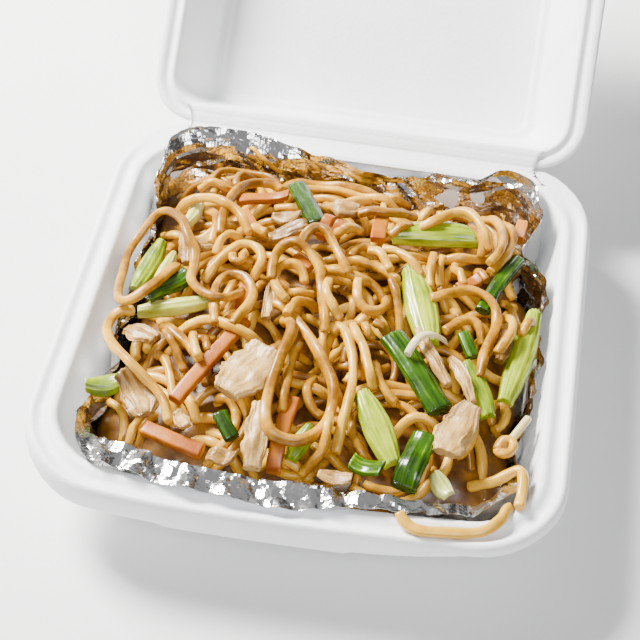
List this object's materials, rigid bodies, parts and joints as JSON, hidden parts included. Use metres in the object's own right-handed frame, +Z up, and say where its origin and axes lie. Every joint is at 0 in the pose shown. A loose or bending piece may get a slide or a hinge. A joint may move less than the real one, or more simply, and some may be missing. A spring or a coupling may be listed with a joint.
{
  "type": "noodle takeaway box",
  "caption": "Open hinged foam takeaway box lined with crumpled foil and filled with thick noodles, sliced chicken, celery, spring onion and carrot strips.",
  "frame": {"origin": "on the plane that the tray stands on, midway between the middle of its front lip and the lid's hinge, and midway between its sides", "axes": "+X to the right of the tray, +Y from the front lip towards the hinge and the opened lid, +Z up"},
  "size_m": [0.235, 0.4083, 0.1738],
  "materials": {
    "foam": "white expanded foam with a fine pebbled skin",
    "foil": "crumpled bright kitchen foil",
    "noodle": "cooked thick wheat noodles with a light gloss of sauce",
    "chicken": "sliced cooked chicken, matt and fibrous",
    "celery": "cooked celery and leek, wet and ribbed",
    "spring_onion": "dark green onion leaf, wet",
    "carrot": "cooked carrot strips, wet",
    "sprout": "pale cooked sprout strips"
  },
  "bodies": {
    "tray": {"tray": "foam", "foil": "foil", "noodle_heap": "noodle", "celery_1": "celery", "celery_2": "celery", "celery_3": "celery", "celery_4": "celery", "celery_5": "celery", "celery_6": "celery", "celery_7": "celery", "celery_8": "celery", "leek_1": "celery", "leek_2": "celery", "leek_3": "celery", "leek_4": "celery", "spring_onion_1": "spring_onion", "spring_onion_2": "spring_onion", "spring_onion_3": "spring_onion", "spring_onion_4": "spring_onion", "spring_onion_5": "spring_onion", "spring_onion_6": "spring_onion", "spring_onion_7": "spring_onion", "spring_onion_8": "spring_onion", "carrot_1": "carrot", "carrot_2": "carrot", "carrot_3": "carrot", "carrot_4": "carrot", "carrot_5": "carrot", "carrot_6": "carrot", "carrot_7": "carrot", "carrot_8": "carrot", "carrot_9": "carrot", "carrot_10": "carrot", "carrot_11": "carrot", "carrot_12": "carrot", "chicken_1": "chicken", "chicken_2": "chicken", "chicken_3": "chicken", "chicken_4": "chicken", "chicken_5": "chicken", "chicken_6": "chicken", "chicken_7": "chicken", "chicken_8": "chicken", "chicken_9": "chicken", "chicken_10": "chicken", "chicken_11": "chicken", "chicken_12": "chicken", "chicken_13": "chicken", "chicken_14": "chicken", "chicken_15": "chicken", "chicken_16": "chicken", "chicken_17": "chicken", "sprout_1": "sprout", "sprout_2": "sprout"},
    "lid": {"lid": "foam"}
  },
  "joints": [
    {"name": "lid_hinge", "type": "hinge", "parent": "tray", "child": "lid", "pos_m": [0, 0.1166, 0.045], "axis": [1, 0, 0], "range_deg": [-36, 144], "deforming": ["foil"]}
  ]
}
